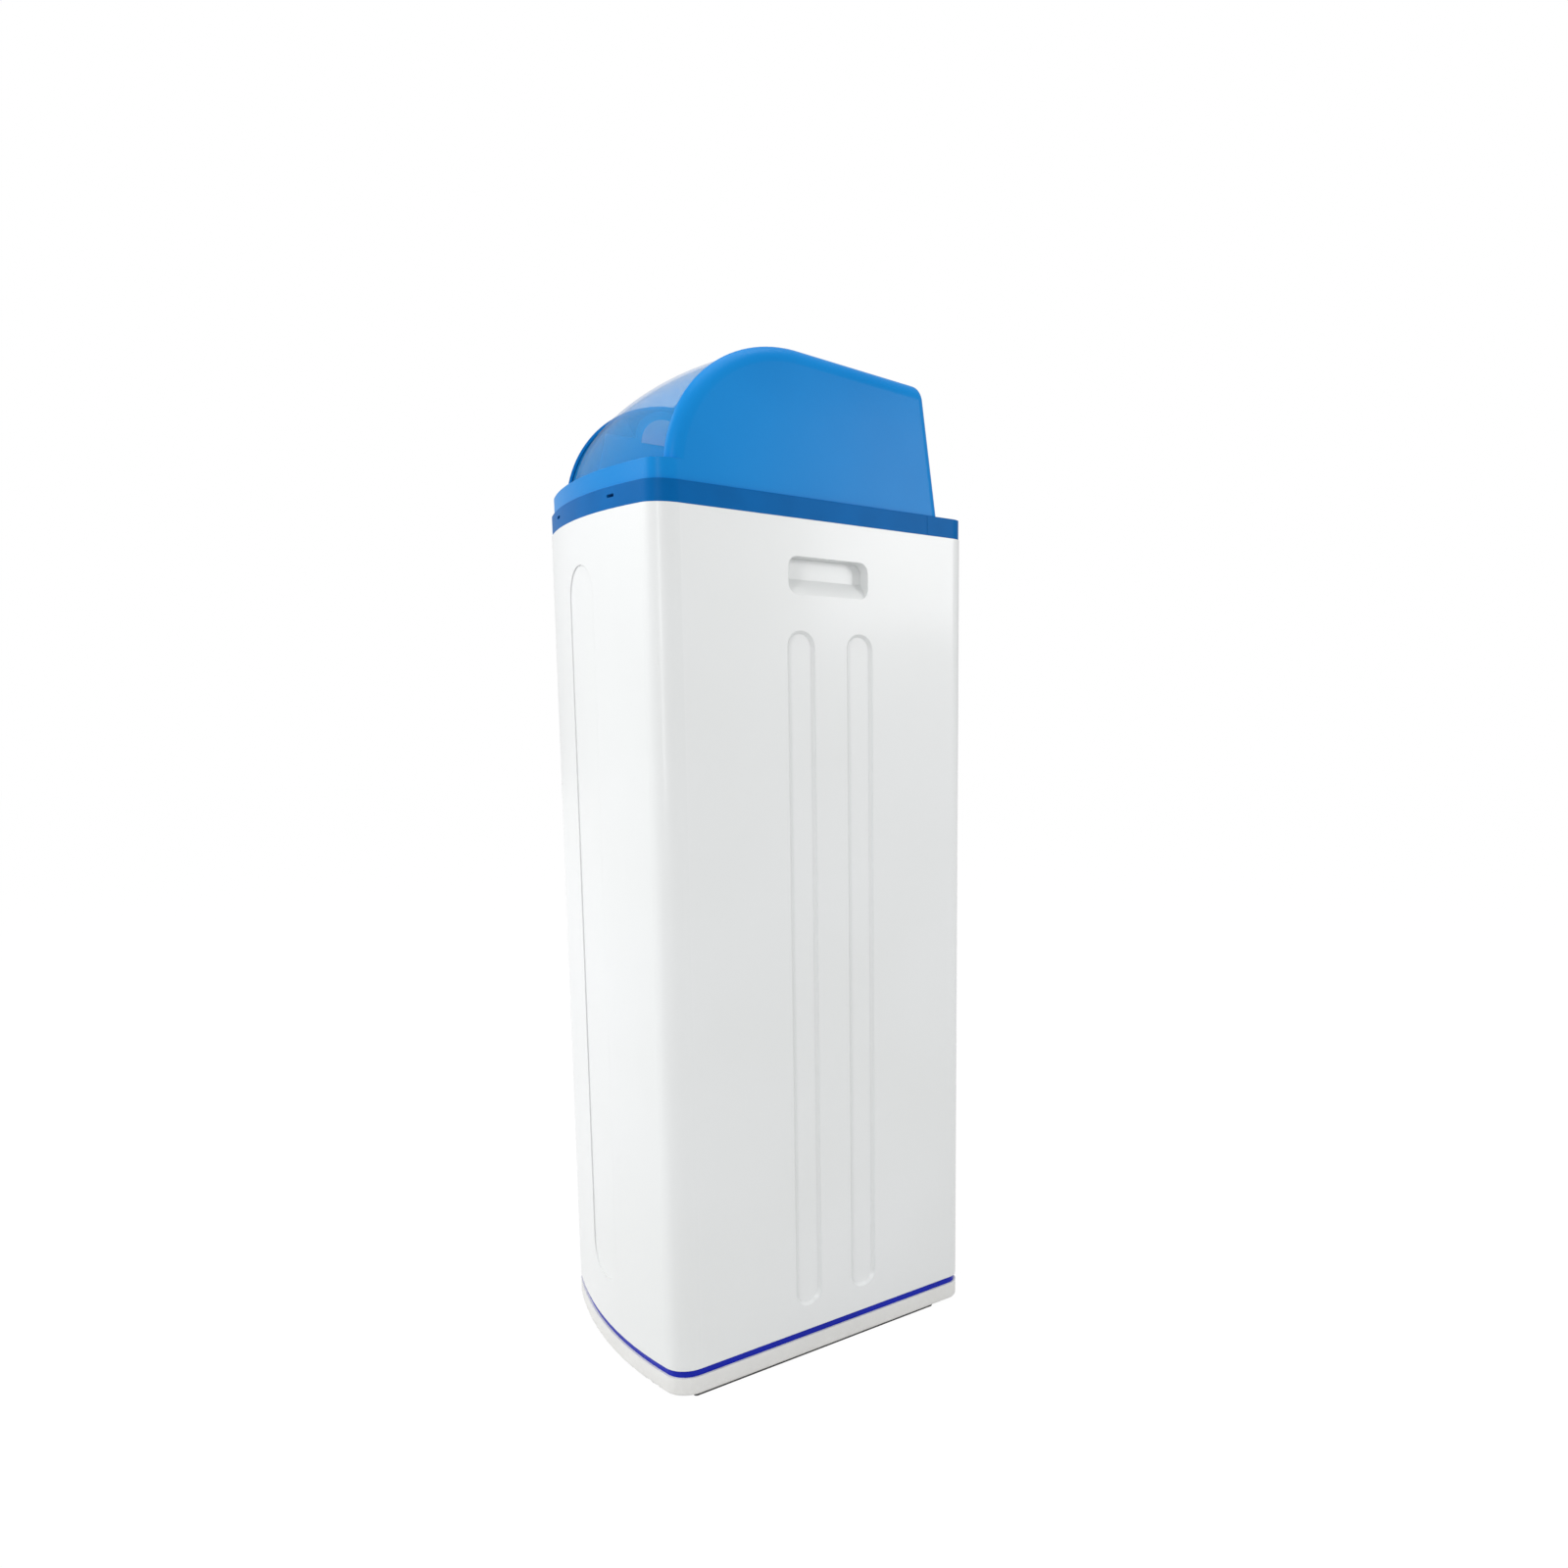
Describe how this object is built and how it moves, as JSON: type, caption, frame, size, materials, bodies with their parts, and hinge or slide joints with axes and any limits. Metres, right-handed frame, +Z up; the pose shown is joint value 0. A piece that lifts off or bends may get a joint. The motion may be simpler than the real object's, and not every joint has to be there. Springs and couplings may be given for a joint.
{
  "type": "water softener",
  "caption": "Cabinet water softener with a bowed front, blue hood, clear roll-back salt cover, resin vessel, control valve, bypass and brine well.",
  "frame": {"origin": "on the floor, under the middle of the cabinet's outline", "axes": "+Z up, +Y to the back where the pipes leave, +X to the right seen from the front"},
  "size_m": [0.318, 0.435, 1.123],
  "materials": {
    "cabinet_white": "moulded, slightly glossy",
    "tray_grey": "moulded, matt",
    "band_blue": "glossy royal blue",
    "hood_blue": "glossy blue",
    "liner_blue": "satin blue",
    "card_pale": "bare pale card",
    "clear_cover": "clear blue plastic",
    "rubber": "matt black",
    "screw_steel": "plain steel",
    "motor_steel": "plated can",
    "black_plastic": "moulded, matt",
    "grey_plastic": "moulded, matt",
    "head_grey": "fine matt texture",
    "face_white": "glossy",
    "button_grey": "soft touch",
    "display_glass": "dark window",
    "board_green": "circuit board",
    "white_plastic": "moulded",
    "well_white": "extruded, matt",
    "float_white": "foam",
    "vessel_shell": "wound glass fibre",
    "resin_beads": "amber beads",
    "ceramic": "lapped ceramic",
    "union_brass": "plain brass",
    "hose_plastic": "extruded tube",
    "lever_blue": "moulded"
  },
  "bodies": {
    "cabinet": {"base_tray": "tray_grey", "foot_strips": "rubber", "base_band": "band_blue", "cabinet_body": "cabinet_white", "casing_screws": "screw_steel", "top_frame": "hood_blue", "rear_frame_strip": "hood_blue", "vessel_foot": "black_plastic", "pressure_vessel": "vessel_shell", "lower_basket": "grey_plastic", "riser_tube": "white_plastic", "resin_bed": "resin_beads", "upper_basket": "grey_plastic", "neck_collar": "black_plastic", "neck_seal": "rubber", "valve_body": "black_plastic", "fixed_disc": "ceramic", "valve_cap": "black_plastic", "drive_plate": "grey_plastic", "drive_screws": "screw_steel", "drive_motor": "motor_steel", "injector_cap": "grey_plastic", "head_housing": "head_grey", "control_face": "face_white", "display_window": "display_glass", "control_board": "board_green", "power_socket": "black_plastic", "bypass_body": "black_plastic", "port_clips": "screw_steel", "union_nuts": "union_brass", "pipe_tails": "union_brass", "drain_elbow": "grey_plastic", "brine_elbow": "grey_plastic", "brine_nut": "white_plastic", "brine_line": "hose_plastic", "brine_well": "well_white", "brine_valve": "white_plastic", "pickup_tube": "white_plastic", "salt_grid": "well_white", "overflow_elbow": "grey_plastic", "overflow_nut": "grey_plastic"},
    "hood": {"hood": "hood_blue", "left_cheek_liner": "liner_blue", "right_cheek_liner": "liner_blue", "liner_cards": "card_pale", "liner_screws": "screw_steel", "cover_pins": "screw_steel"},
    "salt_cover": {"salt_cover": "clear_cover"},
    "well_cap": {"well_cap": "well_white"},
    "float": {"float_rod": "white_plastic", "well_float": "float_white"},
    "bypass_lever_left": {"bypass_lever_left": "lever_blue"},
    "bypass_lever_right": {"bypass_lever_right": "lever_blue"},
    "valve_rotor": {"valve_rotor": "white_plastic", "rotor_gear": "white_plastic"},
    "motor_pinion": {"motor_pinion": "white_plastic"},
    "push_button_1": {"push_button_1": "button_grey"},
    "push_button_2": {"push_button_2": "button_grey"},
    "push_button_3": {"push_button_3": "button_grey"},
    "push_button_4": {"push_button_4": "button_grey"}
  },
  "joints": [
    {"name": "hood_lift", "type": "slide", "parent": "cabinet", "child": "hood", "axis": [0, 0, 1], "range_m": [0, 0.2]},
    {"name": "cover_roll", "type": "hinge", "parent": "hood", "child": "salt_cover", "pos_m": [0, -0.021, 0.971], "axis": [-1, 0, 0], "range_deg": [0, 50]},
    {"name": "well_cap_lift", "type": "slide", "parent": "cabinet", "child": "well_cap", "axis": [0, 0, 1], "range_m": [0, 0.1]},
    {"name": "float_rise", "type": "slide", "parent": "cabinet", "child": "float", "axis": [0, 0, 1], "range_m": [0, 0.028]},
    {"name": "lever_left_turn", "type": "hinge", "parent": "cabinet", "child": "bypass_lever_left", "pos_m": [-0.038, 0.184, 0.99], "axis": [0, 0, 1], "range_deg": [0, 90]},
    {"name": "lever_right_turn", "type": "hinge", "parent": "cabinet", "child": "bypass_lever_right", "pos_m": [0.038, 0.184, 0.99], "axis": [0, 0, -1], "range_deg": [0, 90]},
    {"name": "rotor_turn", "type": "hinge", "parent": "cabinet", "child": "valve_rotor", "pos_m": [0, 0.052, 1.01], "axis": [0, 0, 1], "continuous": true},
    {"name": "pinion_turn", "type": "hinge", "parent": "cabinet", "child": "motor_pinion", "pos_m": [0.03375, 0.01178, 1.03], "axis": [0, 0, 1], "continuous": true},
    {"name": "button_1_press", "type": "slide", "parent": "cabinet", "child": "push_button_1", "axis": [0, 0.8912, -0.4537], "range_m": [0, 0.001], "stiffness_N_per_m": 400, "springref_m": -0.001},
    {"name": "button_2_press", "type": "slide", "parent": "cabinet", "child": "push_button_2", "axis": [0, 0.8912, -0.4537], "range_m": [0, 0.001], "stiffness_N_per_m": 400, "springref_m": -0.001},
    {"name": "button_3_press", "type": "slide", "parent": "cabinet", "child": "push_button_3", "axis": [0, 0.8912, -0.4537], "range_m": [0, 0.001], "stiffness_N_per_m": 400, "springref_m": -0.001},
    {"name": "button_4_press", "type": "slide", "parent": "cabinet", "child": "push_button_4", "axis": [0, 0.8912, -0.4537], "range_m": [0, 0.001], "stiffness_N_per_m": 400, "springref_m": -0.001}
  ],
  "couplings": [
    {"joint": "pinion_turn", "follows": "rotor_turn", "ratio": -2.5}
  ]
}
